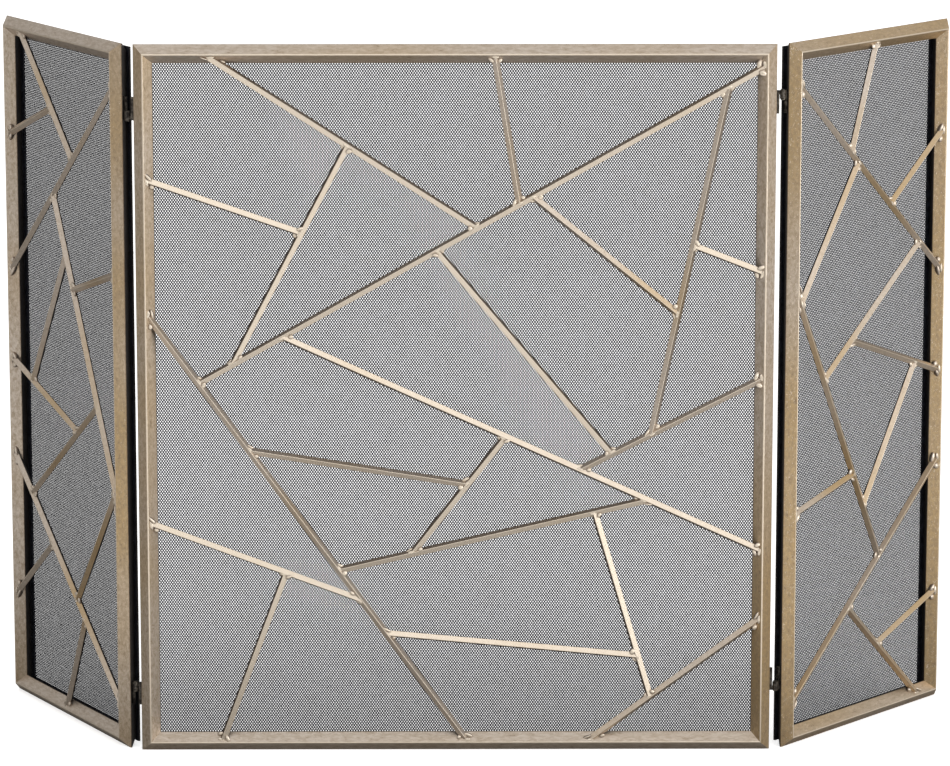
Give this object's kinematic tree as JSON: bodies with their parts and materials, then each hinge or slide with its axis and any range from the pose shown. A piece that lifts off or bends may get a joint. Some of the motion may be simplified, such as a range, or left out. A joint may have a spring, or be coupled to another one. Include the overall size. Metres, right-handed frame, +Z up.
{
  "type": "fireplace screen",
  "caption": "Three-panel folding fireplace screen: leafed square-tube frames with an irregular pattern of straight bars over fine black wire mesh, wings on barrel hinges.",
  "frame": {"origin": "on the floor, under the middle of the centre panel, in its middle plane", "axes": "+Z up, +X to the right seen from the front, -Y out of the front; the wings fold back towards +Y"},
  "size_m": [1.0907, 0.2855, 0.804],
  "materials": {
    "leafed_tube": "champagne gold leaf with worn brown patches on the front faces, black on the rear faces",
    "leafed_bar": "champagne gold leaf with worn brown patches, black on the rear faces",
    "wire_mesh": "satin black wire",
    "black_backing": "satin black paint",
    "hinge": "satin black paint, worn at the knuckles"
  },
  "bodies": {
    "centre_panel": {"centre_bar_01": "leafed_bar", "centre_bar_02": "leafed_bar", "centre_bar_03": "leafed_bar", "centre_bar_04": "leafed_bar", "centre_bar_05": "leafed_bar", "centre_bar_06": "leafed_bar", "centre_bar_07": "leafed_bar", "centre_bar_08": "leafed_bar", "centre_bar_09": "leafed_bar", "centre_bar_10": "leafed_bar", "centre_bar_11": "leafed_bar", "centre_bar_12": "leafed_bar", "centre_bar_13": "leafed_bar", "centre_bar_14": "leafed_bar", "centre_bar_15": "leafed_bar", "centre_bar_16": "leafed_bar", "centre_bar_17": "leafed_bar", "centre_bar_18": "leafed_bar", "centre_bar_19": "leafed_bar", "centre_bar_20": "leafed_bar", "centre_bottom_rail": "leafed_tube", "centre_hinge_leaves": "hinge", "centre_left_stile": "leafed_tube", "centre_mesh": "wire_mesh", "centre_mesh_retainer": "black_backing", "centre_mesh_screws": "black_backing", "centre_right_stile": "leafed_tube", "centre_top_rail": "leafed_tube", "hinge_pins": "hinge"},
    "left_wing": {"left_wing_bar_01": "leafed_bar", "left_wing_bar_02": "leafed_bar", "left_wing_bar_03": "leafed_bar", "left_wing_bar_04": "leafed_bar", "left_wing_bar_05": "leafed_bar", "left_wing_bar_06": "leafed_bar", "left_wing_bottom_rail": "leafed_tube", "left_wing_hinge_leaves": "hinge", "left_wing_hinge_stile": "leafed_tube", "left_wing_mesh": "wire_mesh", "left_wing_mesh_retainer": "black_backing", "left_wing_mesh_screws": "black_backing", "left_wing_outer_stile": "leafed_tube", "left_wing_struts": "leafed_bar", "left_wing_top_rail": "leafed_tube"},
    "right_wing": {"right_wing_bar_01": "leafed_bar", "right_wing_bar_02": "leafed_bar", "right_wing_bar_03": "leafed_bar", "right_wing_bar_04": "leafed_bar", "right_wing_bar_05": "leafed_bar", "right_wing_bar_06": "leafed_bar", "right_wing_bottom_rail": "leafed_tube", "right_wing_hinge_leaves": "hinge", "right_wing_hinge_stile": "leafed_tube", "right_wing_mesh": "wire_mesh", "right_wing_mesh_retainer": "black_backing", "right_wing_mesh_screws": "black_backing", "right_wing_outer_stile": "leafed_tube", "right_wing_struts": "leafed_bar", "right_wing_top_rail": "leafed_tube"}
  },
  "joints": [
    {"name": "left_wing_hinge", "type": "hinge", "parent": "centre_panel", "child": "left_wing", "pos_m": [-0.3621, 0.0032, 0.4], "axis": [0, 0, -1], "range_deg": [-150.5, 29.5]},
    {"name": "right_wing_hinge", "type": "hinge", "parent": "centre_panel", "child": "right_wing", "pos_m": [0.3621, 0.0032, 0.4], "axis": [0, 0, 1], "range_deg": [-139.5, 40.5]}
  ]
}
